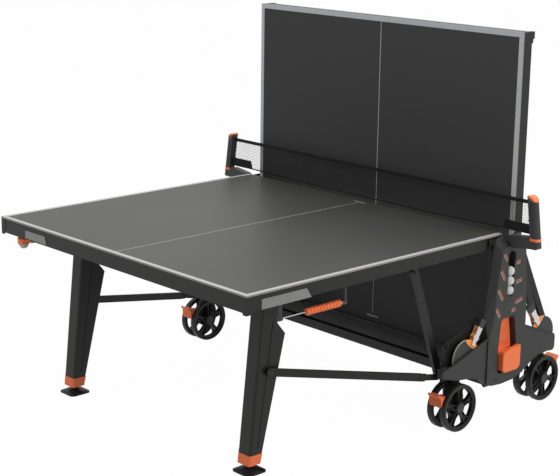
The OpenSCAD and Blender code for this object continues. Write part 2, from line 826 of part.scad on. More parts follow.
module net_post(side) {
    r = 16;
    color(graphite) stand() side_of(side) {
        difference() {
            union() {
                difference() {
                    post_body(post_low_z + 2, cap_z);
                    post_extrude(post_t + 4) translate([post_x(post_low_z, 1) - r, post_low_z + 2])
                        difference() {
                        translate([1, -1]) square([r, r]);
                        translate([0, r]) circle(r = r);
                    }
                    difference() {
                        post_body(band_z[0], band_z[1], 3);
                        post_body(band_z[0] - 1, band_z[1] + 1, -2);
                    }
                }
                // Arm to the tower's top
                post_extrude(post_t) polygon([[rack_x + 1, 731.5], [800, 731.5], [808, 724],
                    [823, 712], [884, 721],
                    [post_x(post_low_z, 0) + 4, post_low_z + 2], [post_x(750, 0) + 4, 750],
                    [post_x(755, 0) - 2, 755.5], [888, 769], [880, 770], [792, 759], [783, 755],
                    [rack_x + 1, 747]]);
            }
            // Flutes down the front and rear faces
            for (s = [-1, 1]) translate([0, s * (post_t / 2 + 1), 0]) post_extrude(4)
                polygon([[post_x(780, 0) + 10, 780], [post_x(780, 0) + 15, 780],
                    [post_x(900, 0) + 15, 900],
                    [post_x(900, 0) + 10, 900]]);
        }
    }
}

module net_post_trim() {
    color(orange) stand() for (side = [LEFT, RIGHT]) side_of(side) {
        intersection() {
            post_body(cap_z, post_top_z, 0.5);
            post_extrude(post_t + 2) polygon([[post_x(cap_z, 0), cap_z], [post_x(cap_z, 1) + 0.5, cap_z],
                [post_top_x[1] + 0.5, post_top_z - 20], [post_top_x[1] - 10, post_top_z - 8],
                [post_top_x[0] + 8, post_top_z], [post_top_x[0], post_top_z - 3]]);
        }
        difference() {
            post_body(band_z[0], band_z[1], 1);
            post_body(band_z[0] - 1, band_z[1] + 1, -2);
        }
    }
}

module net() {
    low = 778;
    gap_x = 0.3;
    color(black) stand() {
        post_extrude(2) polygon([[-post_x(low, 0) + gap_x, low], [post_x(low, 0) - gap_x, low],
            [post_x(net_z - 4, 0) - gap_x, net_z - 4], [-post_x(net_z - 4, 0) + gap_x, net_z - 4]]);
        post_extrude(4) polygon([[-post_x(net_z - 16, 0) + gap_x, net_z - 16],
            [post_x(net_z - 16, 0) - gap_x, net_z - 16],
            [post_x(net_z, 0) - gap_x, net_z], [-post_x(net_z, 0) + gap_x, net_z]]);
        box([-half_w + 4, half_w - 4], [-1, 1], [764, low + 1]);
        for (side = [LEFT, RIGHT]) side_of(side) post_extrude(3.4)
            polygon([[785, low], [post_x(low, 0) - gap_x, low],
            [post_x(net_z - 4, 0) - gap_x, net_z - 4], [777, net_z - 4]]);
    }
}

// ---------- accessories ----------

bat_r = 76;
bat_x = 791.7;
bat_at = [246, 292];
bat_tilt = 34;

// A bat leans in its pocket with its handle towards the middle of the housing
module bat(end) {
    color(orange) stand() end_of(end) translate([bat_x, bat_at[0], bat_at[1]]) rotate([bat_tilt, 0, 0]) {
        pin_x(-3.7, 3.7, bat_r);
        difference() {
            slab(-10.5, 10.5) {
                polygon(concat([[-16, 168], [-12, 104]], arc([-32, 74], 22, 50, 10, 4),
                    [[-9, 58], [9, 58]],
                    arc([32, 74], 22, 170, 130, 4), [[12, 104], [16, 168]]));
                translate([0, 166]) round_rect(35, 12, 3);
            }
            pin_x(-3.7, 3.7, bat_r);
        }
    }
}

module ball_stack() {
    color(white) stand() for (k = [0:2]) translate([ball_x, slot_y,
        channel_z + 0.3 + ball_d / 2 + k * (ball_d + 0.2)]) sphere(d = ball_d);
}

wire_x = 745;
wire_z = 641;
wire_y = [-1212, -892];
bead_pitch = 15.8;
bead_start = -1088;

module score_wire() {
    color(steel) stand() {
        translate([wire_x, wire_y[0], wire_z]) rotate([-90, 0, 0])
            cylinder(r = 2, h = wire_y[1] - wire_y[0]);
        for (y = wire_y) translate([wire_x, y, 0]) {
            box([-6, 6], [-5, 5], [wire_z - 4, top_z - board_t - side_apron_h]);
            translate([0, 0, wire_z]) rotate([90, 0, 0]) cylinder(r = 9, h = 14, center = true);
        }
    }
}

module score_beads() {
    color(orange) stand() for (k = [0:bead_count - 1])
        translate([wire_x, bead_start + k * bead_pitch, wire_z]) rotate([-90, 0, 0])
        rotate_extrude() polygon(concat([[2.2, 0], [9, 0]], arc([8, bead_pitch / 2 - 0.1], 6, -70, 70, 6),
            [[9, bead_pitch - 0.2], [2.2, bead_pitch - 0.2]]));
}

clip = [-650, -1352, 660];

module ball_clip() {
    color(orange) stand() translate(clip) difference() {
        union() {
            translate([0, 0, 2]) cylinder(r = 25, h = 22);
            box([0, 72], [-9, 9], [17, 24]);
            box([-12, 12], [-12, 12], [23, 35]);
        }
        sphere(d = ball_d + 1);
        translate([0, 0, -1]) cylinder(r1 = 21, r2 = 20, h = 8);
        box([-30, 30], [-7, 7], [-2, 12]);
    }
}

module clip_ball() {
    color(white) stand() translate(clip) sphere(d = ball_d);
}

board(FRONT);  // board_front
end_apron(FRONT);  // end_apron_front
side_aprons(FRONT);  // side_aprons_front
rails(FRONT);  // rails_front
board(REAR);  // board_rear
end_apron(REAR);  // end_apron_rear
side_aprons(REAR);  // side_aprons_rear
rails(REAR);  // rails_rear
rollers(FRONT);  // rollers_front
rollers(REAR);  // rollers_rear
leg(LEFT, FRONT);  // leg_left_front
leg(RIGHT, FRONT);  // leg_right_front
leg(LEFT, REAR);  // leg_left_rear
leg(RIGHT, REAR);  // leg_right_rear
collars(FRONT);  // leg_collars_front
collars(REAR);  // leg_collars_rear
foot(LEFT, FRONT);  // foot_left_front
foot(RIGHT, FRONT);  // foot_right_front
foot(LEFT, REAR);  // foot_left_rear
foot(RIGHT, REAR);  // foot_right_rear
tie_bar(LEFT, FRONT);  // tie_bar_left_front
tie_bar(RIGHT, FRONT);  // tie_bar_right_front
tie_bar(LEFT, REAR);  // tie_bar_left_rear
tie_bar(RIGHT, REAR);  // tie_bar_right_rear
strut(LEFT, FRONT);  // strut_left_front
strut(RIGHT, FRONT);  // strut_right_front
strut(LEFT, REAR);  // strut_left_rear
strut(RIGHT, REAR);  // strut_right_rear
cross_beams();
side_frame(LEFT);  // side_frame_left
side_frame(RIGHT);  // side_frame_right
side_housing(LEFT);  // side_housing_left
side_housing(RIGHT);  // side_housing_right
bat_rack(LEFT);  // bat_rack_left
bat_rack(RIGHT);  // bat_rack_right
release_lever(LEFT);  // release_lever_left
release_lever(RIGHT);  // release_lever_right
caster_fork(LEFT, FRONT);  // caster_fork_left_front
caster_fork(RIGHT, FRONT);  // caster_fork_right_front
caster_fork(LEFT, REAR);  // caster_fork_left_rear
caster_fork(RIGHT, REAR);  // caster_fork_right_rear
caster_wheels(LEFT, FRONT);  // caster_wheels_left_front
caster_wheels(RIGHT, FRONT);  // caster_wheels_right_front
caster_wheels(LEFT, REAR);  // caster_wheels_left_rear
caster_wheels(RIGHT, REAR);  // caster_wheels_right_rear
brake_pedal(LEFT, FRONT);  // brake_pedal_left_front
brake_pedal(RIGHT, FRONT);  // brake_pedal_right_front
brake_pedal(LEFT, REAR);  // brake_pedal_left_rear
brake_pedal(RIGHT, REAR);  // brake_pedal_right_rear
net_post(LEFT);  // net_post_left
net_post(RIGHT);  // net_post_right
net_post_trim();
net();
bat(FRONT);  // bat_front
bat(REAR);  // bat_rear
ball_stack();
score_wire();
score_beads();
ball_clip();
clip_ball();
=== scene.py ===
"""Looks of the folding ping pong table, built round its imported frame.

Units are metres in the frame of the solids: x runs along the net, y away from the camera's end, z up.
"""
import math

import bmesh
import bpy
from mathutils import Matrix, Vector


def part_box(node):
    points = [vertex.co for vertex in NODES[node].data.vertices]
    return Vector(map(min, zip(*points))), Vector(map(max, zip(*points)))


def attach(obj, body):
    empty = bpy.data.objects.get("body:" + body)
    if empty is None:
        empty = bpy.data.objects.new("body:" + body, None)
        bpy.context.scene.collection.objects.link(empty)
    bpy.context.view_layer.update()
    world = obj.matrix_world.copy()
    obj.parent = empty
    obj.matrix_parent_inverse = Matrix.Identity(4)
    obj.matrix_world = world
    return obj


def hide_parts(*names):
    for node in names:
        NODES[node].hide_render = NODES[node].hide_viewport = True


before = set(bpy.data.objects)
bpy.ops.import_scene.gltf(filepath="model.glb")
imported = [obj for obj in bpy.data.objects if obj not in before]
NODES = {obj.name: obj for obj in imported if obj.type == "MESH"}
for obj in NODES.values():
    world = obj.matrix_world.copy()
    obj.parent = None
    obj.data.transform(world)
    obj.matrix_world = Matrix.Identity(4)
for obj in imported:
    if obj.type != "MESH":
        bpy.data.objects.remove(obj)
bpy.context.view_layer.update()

SIDES = ("left", "right")
ENDS = ("front", "rear")
NET_LOW, NET_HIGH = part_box("net")
NET_Y = (NET_LOW[1] + NET_HIGH[1]) / 2


# ---------- camera ----------

CAMERA_PLACE = Vector((4.28776, NET_Y - 4.53078, 2.16090))
# radians
CAMERA_YAW, CAMERA_PITCH, CAMERA_ROLL = -0.8188, -0.2479, 0.0138
# millimetres
CAMERA_LENS, CAMERA_SENSOR = 93.48, 36
# metres
CAMERA_REACH = 60


def make_camera():
    """A camera at its place, turned by its yaw, pitch and roll, and made the scene's own."""
    flat = math.cos(CAMERA_PITCH)
    ahead = Vector((flat * math.sin(CAMERA_YAW), flat * math.cos(CAMERA_YAW), math.sin(CAMERA_PITCH)))
    level = ahead.cross(Vector((0, 0, 1))).normalized()
    over = level.cross(ahead)
    right = level * math.cos(CAMERA_ROLL) + over * math.sin(CAMERA_ROLL)
    up = over * math.cos(CAMERA_ROLL) - level * math.sin(CAMERA_ROLL)
    data = bpy.data.cameras.new("camera")
    data.sensor_width = CAMERA_SENSOR
    data.lens = CAMERA_LENS
    data.clip_end = CAMERA_REACH
    camera = bpy.data.objects.new("camera", data)
    bpy.context.scene.collection.objects.link(camera)
    turn = Matrix((right, up, -ahead)).transposed().to_4x4()
    camera.matrix_world = Matrix.Translation(CAMERA_PLACE) @ turn
    bpy.context.scene.camera = camera


make_camera()


# ---------- material kit ----------

# half the width of a painted or moulded edge between two tones
SOFT = 0.0002
# the middle range of a noise, where nearly all its values lie
NOISE_LOW, NOISE_HIGH = 0.3, 0.7
# noise scales: the grain of a mould, and drifts of tone over a small and a large part
FINE, DRIFT_SMALL, DRIFT_LARGE = 900, 9, 7


class Maker:
    """Adds nodes to one material and keeps the links short to write."""

    def __init__(self, name):
        self.material = bpy.data.materials.new(name)
        self.material.use_nodes = True
        self.tree = self.material.node_tree
        self.shader = self.tree.nodes["Principled BSDF"]
        self.place = self.tree.nodes.new("ShaderNodeTexCoord").outputs["Object"]

    def add(self, kind, **settings):
        node = self.tree.nodes.new(kind)
        for key, value in settings.items():
            setattr(node, key, value)
        return node

    def link(self, source, target):
        """Joins a socket to a target, or sets the target to a plain value."""
        if isinstance(source, (int, float, tuple)):
            target.default_value = source
        else:
            self.tree.links.new(source, target)

    def math(self, operation, a, b=0.0):
        node = self.add("ShaderNodeMath", operation=operation)
        self.link(a, node.inputs[0])
        self.link(b, node.inputs[1])
        return node.outputs[0]

    def minus(self, a, b):
        return self.math("SUBTRACT", a, b)

    def times(self, a, b):
        return self.math("MULTIPLY", a, b)

    def plus(self, a, b):
        return self.math("ADD", a, b)

    def largest(self, *values):
        first = values[0]
        for value in values[1:]:
            first = self.math("MAXIMUM", first, value)
        return first

    def length(self, a, b):
        """Distance from the origin of a plane."""
        return self.math("SQRT", self.plus(self.times(a, a), self.times(b, b)))

    def wave(self, value, pitch):
        return self.math("SINE", self.times(value, 2 * math.pi / pitch))

    def blend(self, a, share, b):
        """The sum of two tones, of which the first has the given share."""
        return self.plus(self.times(a, share), self.times(b, 1 - share))

    def ramp(self, value, a, b, to_a, to_b):
        node = self.add("ShaderNodeMapRange")
        for i, v in enumerate((value, a, b, to_a, to_b)):
            self.link(v, node.inputs[i])
        return node.outputs[0]

    def spread(self, tone, low=0.0, high=1.0):
        """Stretches a noise over the range from low to high."""
        return self.ramp(tone, NOISE_LOW, NOISE_HIGH, low, high)

    def over(self, value, edge, soft=SOFT):
        """0 below an edge and 1 above it."""
        return self.ramp(value, edge - soft, edge + soft, 0, 1)

    def under(self, value, edge, soft=SOFT):
        """1 below an edge and 0 above it."""
        return self.ramp(value, edge - soft, edge + soft, 1, 0)

    def within(self, value, low, high):
        """1 where a value lies between two edges."""
        return self.times(self.over(value, low), self.under(value, high))

    def axes(self):
        node = self.add("ShaderNodeSeparateXYZ")
        self.link(self.place, node.inputs[0])
        return node.outputs["X"], node.outputs["Y"], node.outputs["Z"]

    def stretched(self, scale):
        node = self.add("ShaderNodeMapping")
        self.link(self.place, node.inputs["Vector"])
        node.inputs["Scale"].default_value = scale
        return node.outputs[0]

    def noise(self, scale, detail=3.0, rough=0.5, vector=None):
        node = self.add("ShaderNodeTexNoise")
        self.link(vector or self.place, node.inputs["Vector"])
        node.inputs["Scale"].default_value = scale
        node.inputs["Detail"].default_value = detail
        node.inputs["Roughness"].default_value = rough
        return node.outputs["Fac"]

    def cells(self, scale):
        node = self.add("ShaderNodeTexVoronoi")
        self.link(self.place, node.inputs["Vector"])
        node.inputs["Scale"].default_value = scale
        return node.outputs["Distance"]

    def mix(self, factor, a, b):
        node = self.add("ShaderNodeMix", data_type="RGBA")
        self.link(factor, node.inputs["Factor"])
        colours = [s for s in node.inputs if s.type == "RGBA"]
        self.link(a, colours[0])
        self.link(b, colours[1])
        return [s for s in node.outputs if s.type == "RGBA"][0]

    def tint(self, tone, shades):
        """A colour that wanders between a dark and a light shade with a noise."""
        return self.mix(self.spread(tone), *shades)

    def bump(self, height, strength, distance):
        node = self.add("ShaderNodeBump")
        node.inputs["Strength"].default_value = strength
        node.inputs["Distance"].default_value = distance
        self.link(height, node.inputs["Height"])
        self.link(node.outputs[0], self.shader.inputs["Normal"])

    def gloss(self, level):
        self.shader.inputs["Specular IOR Level"].default_value = level

    def finish(self, colour, rough, metal=0.0):
        for key, value in (("Base Color", colour), ("Roughness", rough), ("Metallic", metal)):
            self.link(value, self.shader.inputs[key])
        return self.material


# ---------- plastics, coats, paint and fabric ----------

# each pair holds the dark and the light shade that a surface wanders between
ORANGE_SHADES = ((0.90, 0.185, 0.062, 1), (0.96, 0.235, 0.085, 1))
GRAPHITE_SHADES = ((0.027, 0.027, 0.0265, 1), (0.042, 0.0415, 0.041, 1))
BLACK_SHADES = ((0.010, 0.010, 0.010, 1), (0.02, 0.02, 0.019, 1))
DEEP_SHADES = ((0.006, 0.006, 0.006, 1), (0.011, 0.011, 0.010, 1))
COAT_SHADES = ((0.011, 0.011, 0.0105, 1), (0.019, 0.019, 0.018, 1))
BALL_SHADES = ((0.58, 0.58, 0.565, 1), (0.67, 0.67, 0.65, 1))
SILVER_SHADES = ((0.185, 0.185, 0.18, 1), (0.255, 0.255, 0.247, 1))
CORD_SHADES = ((0.018, 0.018, 0.017, 1), (0.030, 0.029, 0.028, 1))
TAPE_SHADES = ((0.009, 0.009, 0.009, 1), (0.017, 0.017, 0.016, 1))
STRIPE_ORANGE = ((0.58, 0.11, 0.035, 1), (0.66, 0.14, 0.05, 1))
STRIPE_GREY = ((0.30, 0.30, 0.29, 1), (0.38, 0.38, 0.37, 1))
ORANGE_GLOSS = 0.3
# share of the slow drift in a moulding's tone
DRIFT_SHARE = 0.75


def mould_tone(m, drift=DRIFT_SMALL):
    """Spark-eroded grain, and the same grain laid over a slow drift of tone."""
    fine = m.noise(FINE, detail=2)
    return fine, m.blend(m.noise(drift), DRIFT_SHARE, fine)


def moulded(name, shade, rough=(0.42, 0.6), gloss=0.22):
    """Moulded plastic: fine spark-eroded grain with slow drifts of tone."""
    m = Maker(name)
    fine, tone = mould_tone(m, DRIFT_LARGE)
    m.bump(fine, strength=0.12, distance=0.00015)
    m.gloss(gloss)
    return m.finish(m.tint(tone, shade), rough=m.spread(tone, *rough))


def coat_material():
    """Satin powder coat: a faint orange peel, and darker film where it pools."""
    m = Maker("anthracite_coat")
    pools = m.noise(5, detail=4, rough=0.55)
    fleck = m.noise(1800, detail=1)
    peel = m.noise(420, detail=2, rough=0.4)
    film = m.ramp(m.blend(pools, 0.8, fleck), NOISE_LOW, 0.72, 0, 1)
    m.bump(peel, strength=0.1, distance=0.0003)
    m.gloss(0.25)
    return m.finish(m.mix(film, *COAT_SHADES), rough=m.spread(pools, 0.38, 0.5))


def ball_material():
    """Matt white celluloid with a slow change of tone."""
    m = Maker("ball_celluloid")
    fine = m.noise(700, detail=2)
    slow = m.noise(25, detail=2)
    m.bump(fine, strength=0.06, distance=0.0001)
    return m.finish(m.tint(slow, BALL_SHADES), rough=m.spread(fine, 0.42, 0.55))


def silver_material():
    """Brushed foil of the bare plates."""
    m = Maker("silver_plate")
    streak = m.noise(400, rough=0.6, vector=m.stretched((1, 1, 12)))
    tone = m.blend(streak, 0.5, m.noise(12, detail=2))
    m.bump(streak, strength=0.08, distance=0.0001)
    return m.finish(m.tint(tone, SILVER_SHADES), rough=m.spread(tone, 0.4, 0.52), metal=0.15)


def paint_material(name, shade):
    """Thin printed colour."""
    m = Maker(name)
    fine = m.noise(600, detail=2)
    m.bump(fine, strength=0.06, distance=0.0001)
    return m.finish(m.tint(fine, shade), rough=m.spread(fine, 0.42, 0.52))


def fabric_material(name, shade, weave, deep):
    """Woven synthetic: crossed threads in the bump and a slow change of tone."""
    m = Maker(name)
    x, _, z = m.axes()
    cloth = m.times(m.wave(x, weave), m.wave(z, weave))
    slow = m.noise(12)
    # the crossed threads run from -1 to 1 and lighten the tone by up to 0.3: painted light where their bump
    # is raised, painted shade where it sinks
    tone = m.plus(m.times(slow, 0.7), m.times(m.plus(cloth, 1), 0.15))
    m.bump(cloth, strength=0.3, distance=deep)
    m.gloss(0.12)
    return m.finish(m.tint(tone, shade), rough=m.ramp(cloth, -1, 1, 0.62, 0.8))


GRAPHITE = moulded("graphite_plastic", GRAPHITE_SHADES, gloss=0.3)
BLACK = moulded("black_plastic", BLACK_SHADES, rough=(0.34, 0.5))
DEEP = moulded("deep_black_plastic", DEEP_SHADES, rough=(0.5, 0.65))
ORANGE = moulded("orange_plastic", ORANGE_SHADES, rough=(0.36, 0.5), gloss=ORANGE_GLOSS)
COAT = coat_material()
BALL = ball_material()
SILVER = silver_material()
STRIPE_PAINT = {
    "orange": paint_material("stripe_orange", STRIPE_ORANGE),
    "grey": paint_material("stripe_grey", STRIPE_GREY),
}
NET_CORD = fabric_material("net_cord", CORD_SHADES, weave=0.0008, deep=0.0001)
NET_TAPE = fabric_material("net_tape", TAPE_SHADES, weave=0.0012, deep=0.0002)


# ---------- boards ----------

# widths of the lines round a half and of its middle line
LINE_WIDE, MIDDLE_WIDE = 0.020, 0.0030
# the middle line starts this far from the net's edge of a board
MIDDLE_START = 0.0452
# the short mark across the middle line: half its length, its two edges from the net's side, its strength
MARK_HALF, MARK_NEAR, MARK_FAR, MARK_TONE = 0.0347, 0.029, 0.036, 0.9
# depths at which the printed face and the bare edge below it end, and pitch of the edge's layers
FACE_DEEP, EDGE_DEEP, LAYER_PITCH = 0.0003, 0.0067, 0.0014
# share of the tone that grows lighter toward the right-hand edge: painted light, as the upright half is lit
# more brightly on that side
PAINTED_LIGHT_SHARE = {"front": 0.0, "rear": 0.7}
BOARD_GLOSS = {"front": 0.24, "rear": 0.22}
BOARD_ROUGH = {"front": (0.40, 0.52), "rear": (0.5, 0.62)}
# both halves are one laminate: the upright rear half's darker, greyer board is painted shade, and its
# lighter, bluer lines are painted light
BOARD_SHADES_AS_LIT = {
    "front": ((0.048, 0.048, 0.043, 1), (0.061, 0.061, 0.055, 1)),
    "rear": ((0.033, 0.033, 0.033, 1), (0.049, 0.049, 0.049, 1)),
}
LINE_SHADES_AS_LIT = {
    "front": ((0.47, 0.47, 0.47, 1), (0.56, 0.56, 0.56, 1)),
    "rear": ((0.56, 0.575, 0.605, 1), (0.66, 0.675, 0.71, 1)),
}
UNDER_SHADES = ((0.010, 0.010, 0.009, 1), (0.016, 0.016, 0.015, 1))
EDGE_SHADES = ((0.20, 0.186, 0.166, 1), (0.34, 0.325, 0.30, 1))


def board_distances(m, node, half):
    """Distances of a point from the middle, the playing face, the end line and the net's edge."""
    low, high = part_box(node)
    x, y, z = m.axes()
    if half == "front":
        depth = m.minus(z, high[2])
        from_end = m.minus(y, low[1])
        from_net = m.minus(high[1], y)
    else:
        depth = m.minus(low[1], y)
        from_end = m.minus(high[2], z)
        from_net = m.minus(z, low[2])
    return x, depth, from_end, from_net


def printed_lines(m, across, from_end, from_net, half_wide):
    """1 on the white lines round a half, on its middle line and on the mark at the net."""
    sides = m.over(across, half_wide - LINE_WIDE)
    ends = m.under(from_end, LINE_WIDE)
    middle = m.times(m.under(across, MIDDLE_WIDE / 2), m.over(from_net, MIDDLE_START))
    mark = m.times(m.under(across, MARK_HALF), m.within(from_net, MARK_NEAR, MARK_FAR))
    return m.largest(sides, ends, middle, m.times(mark, MARK_TONE))


def board_of(node):
    """Laminate with a fine matt grain, printed lines and a bare layered edge made pale partly as a painted
    highlight.
    """
    half = node.split("_")[1]
    half_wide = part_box(node)[1][0]
    m = Maker(node + "_laminate")
    x, depth, from_end, from_net = board_distances(m, node, half)
    lines = printed_lines(m, m.math("ABSOLUTE", x), from_end, from_net, half_wide)
    grain = m.noise(1500, detail=2, rough=0.6)
    cloud = m.noise(2.2)
    tone = m.spread(m.blend(grain, 0.3, cloud))
    # painted light: on the upright half the board's tone rises toward its right-hand edge
    drift = m.ramp(x, -half_wide, half_wide, 0, PAINTED_LIGHT_SHARE[half])
    plain = m.mix(m.plus(m.times(tone, 1 - PAINTED_LIGHT_SHARE[half]), drift), *BOARD_SHADES_AS_LIT[half])
    face = m.mix(lines, plain, m.tint(grain, LINE_SHADES_AS_LIT[half]))
    # the waves run from -1 to 1, and the noise breaks their edges
    layers = m.plus(m.wave(depth, LAYER_PITCH), m.noise(300))
    # the edge's layers are its own; their pale tone is partly a painted highlight along the edge
    edge = m.mix(m.ramp(layers, -0.6, 1.6, 0, 1), *EDGE_SHADES)
    # depth is 0 at the playing face and negative below it
    below = m.mix(m.under(depth, -EDGE_DEEP, soft=SOFT / 2), edge, m.tint(cloud, UNDER_SHADES))
    colour = m.mix(m.over(depth, -FACE_DEEP, soft=SOFT / 2), below, face)
    m.bump(grain, strength=0.10, distance=0.0002)
    m.gloss(BOARD_GLOSS[half])
    return m.finish(colour, rough=m.spread(grain, *BOARD_ROUGH[half]))


# ---------- bats ----------

# radius of the blade, and the bats' lean from upright
BAT_R, BAT_LEAN = 0.076, math.radians(34)
# an arc bounds the rubber below the neck: its centre along the bat, and its radius
NECK_ALONG, NECK_R = 0.175, 0.126
# thickness of the blade and of the wooden core between the grip's pale sides, each from the middle plane
BLADE_HALF, CORE_HALF = 0.0042, 0.00975
# lengths along the bat from the blade's centre: end of the painted highlight round its edge, start of the
# grip, start of its cap
EDGE_HIGHLIGHT_END, GRIP_START, CAP_START = 0.0605, 0.1045, 0.13675
# dark slots on the grip: their stretch along the bat, and half their length
SLOT_FROM, SLOT_TO, SLOT_HALF = 0.108, 0.130, 0.0052
# half the pitch of the slots, and half the wood between two
SLOT_STEP, SLOT_GAP = 0.0030, 0.0016
RUBBER_SHADES = ((0.012, 0.012, 0.012, 1), (0.024, 0.024, 0.023, 1))
BAT_EDGE_HIGHLIGHT_SHADES = ((0.52, 0.49, 0.44, 1), (0.66, 0.64, 0.60, 1))
WOOD_SHADES = ((0.84, 0.26, 0.060, 1), (0.94, 0.36, 0.11, 1))
PALE_SHADES = ((0.62, 0.62, 0.60, 1), (0.74, 0.74, 0.72, 1))
CAP_SHADES = ((0.012, 0.012, 0.012, 1), (0.022, 0.022, 0.021, 1))


def bat_axes(m, node):
    """A point's place along the leaning bat, across it, and beside its middle plane."""
    low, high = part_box(node)
    x, y, z = m.axes()
    if node.endswith("front"):
        out = m.minus(low[1] + BAT_R, y)
    else:
        out = m.minus(y, high[1] - BAT_R)
    up = m.minus(z, low[2] + BAT_R)
    along = m.minus(m.times(up, math.cos(BAT_LEAN)), m.times(out, math.sin(BAT_LEAN)))
    across = m.plus(m.times(out, math.cos(BAT_LEAN)), m.times(up, math.sin(BAT_LEAN)))
    return along, across, m.math("ABSOLUTE", m.minus(x, (low[0] + high[0]) / 2))


def bat_of(node):
    """Blade with dark rubber faces and a painted highlight round its edge, bare wood at the neck, two-tone
    grip with a black cap.
    """
    m = Maker(node + "_finish")
    along, across, side = bat_axes(m, node)
    fine = m.noise(1400, detail=2)
    streak = m.noise(90, rough=0.6, vector=m.stretched((6, 1, 1)))
    wood = m.tint(streak, WOOD_SHADES)
    cap = m.tint(fine, CAP_SHADES)
    # painted highlight: a pale band round the blade's edge, ending short of the neck
    on_edge_highlight = m.times(m.over(m.length(along, across), BAT_R - SOFT, soft=SOFT / 2),
                     m.under(along, EDGE_HIGHLIGHT_END, soft=0.0005))
    covered = m.mix(on_edge_highlight, m.tint(fine, RUBBER_SHADES), m.tint(streak, BAT_EDGE_HIGHLIGHT_SHADES))
    bare = m.under(m.length(m.minus(along, NECK_ALONG), across), NECK_R, soft=0.0005)
    blade = m.mix(bare, covered, wood)
    stripes = m.within(m.math("PINGPONG", along, SLOT_STEP), SLOT_GAP, SLOT_STEP)
    slots = m.times(stripes, m.times(m.within(along, SLOT_FROM, SLOT_TO), m.under(side, SLOT_HALF)))
    grip = m.mix(m.over(side, CORE_HALF, soft=0.00025), m.mix(slots, wood, cap), m.tint(streak, PALE_SHADES))
    held = m.largest(m.over(side, BLADE_HALF), m.over(along, GRIP_START, soft=0.0005))
    colour = m.mix(m.over(along, CAP_START, soft=0.00025), m.mix(held, blade, grip), cap)
    pips = m.times(m.cells(420), m.minus(1, held))
    m.bump(m.plus(pips, m.times(streak, 0.4)), strength=0.12, distance=0.0003)
    return m.finish(colour, rough=m.spread(fine, 0.42, 0.58))


# ---------- wheels, levers, post trim and score wire ----------

# radius of the grey hub disc
HUB_R = 0.0182
# depths below a wheel's rim: the painted highlight line's two edges, the tread's edge, and the foot of its
# lugs
HIGHLIGHT_IN, HIGHLIGHT_OUT, TREAD_IN, LUG_IN = 0.0052, 0.0040, 0.0030, 0.0016
# number of lugs round the tread
LUGS = 96
WHEEL_SHADES = ((0.006, 0.006, 0.006, 1), (0.011, 0.011, 0.010, 1))
TREAD_SHADES = ((0.007, 0.007, 0.007, 1), (0.014, 0.014, 0.013, 1))
WHEEL_HIGHLIGHT_SHADES = ((0.05, 0.05, 0.05, 1), (0.09, 0.09, 0.09, 1))
HUB_SHADES = ((0.036, 0.036, 0.036, 1), (0.050, 0.050, 0.049, 1))


def wheel_of(node):
    """Black moulded wheel with a rubber tread, a thin painted highlight line near its edge and a grey hub
    disc.
    """
    low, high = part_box(node)
    reach = (high[2] - low[2]) / 2
    m = Maker(node + "_finish")
    _, y, z = m.axes()
    dy, dz = m.minus(y, (low[1] + high[1]) / 2), m.minus(z, (low[2] + high[2]) / 2)
    radius = m.length(dy, dz)
    fine = m.noise(FINE, detail=2)
    slow = m.noise(20)
    colour = m.mix(m.under(radius, HUB_R), m.tint(slow, WHEEL_SHADES), m.tint(slow, HUB_SHADES))
    # painted highlight: a thin bright ring just inside the tread
    colour = m.mix(m.within(radius, reach - HIGHLIGHT_IN, reach - HIGHLIGHT_OUT), colour, m.tint(fine, WHEEL_HIGHLIGHT_SHADES))
    colour = m.mix(m.over(radius, reach - TREAD_IN), colour, m.tint(fine, TREAD_SHADES))
    ripple = m.math("SINE", m.times(m.math("ARCTAN2", dz, dy), LUGS))
    tread = m.times(ripple, m.over(radius, reach - LUG_IN, soft=0.0004))
    m.bump(m.plus(m.times(tread, 0.8), m.times(fine, 0.3)), strength=0.25, distance=0.0004)
    m.gloss(0.25)
    return m.finish(colour, rough=m.spread(fine, 0.36, 0.52))


# the arm's relief starts this far above the lever's foot; pitch of its crossed waves; the darker orange
# painted as shade in its sunk grooves
ARM_START, WEAVE_PITCH = 0.099, 0.0052
WEAVE_GROOVE_SHADE = (0.60, 0.10, 0.035, 1)


def lever_of(node):
    """Orange moulding whose arm carries a fine diagonal relief with painted shade in its grooves; the pad
    below is plain.
    """
    m = Maker(node + "_finish")
    lever_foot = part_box(node)[0][2]
    _, y, z = m.axes()
    arm = m.over(z, lever_foot + ARM_START, soft=0.001)
    fine, tone = mould_tone(m)
    crossed = m.largest(m.wave(m.plus(y, z), WEAVE_PITCH), m.times(m.wave(m.minus(y, z), WEAVE_PITCH), 0.6))
    weave = m.times(crossed, arm)
    plain = m.tint(tone, ORANGE_SHADES)
    m.bump(m.plus(m.times(weave, -0.5), m.times(fine, 0.15)), strength=0.35, distance=0.0005)
    m.gloss(ORANGE_GLOSS)
    # painted shade: the orange darkens where the relief is sunk
    shaded = m.mix(weave, plain, WEAVE_GROOVE_SHADE)
    return m.finish(m.mix(arm, plain, shaded), rough=m.spread(tone, 0.36, 0.5))


# the cap plate's underside: its rise per metre inward, and its depth below the cap's top at the outer face
PLATE_SLANT, PLATE_DEEP = 0.42, 0.0335
# half the width of the seam between the plate and its block
SEAM_HALF = 0.0005
# the bands at the post's foot end below this height over the trim's lowest point
BANDS_TOP = 0.055


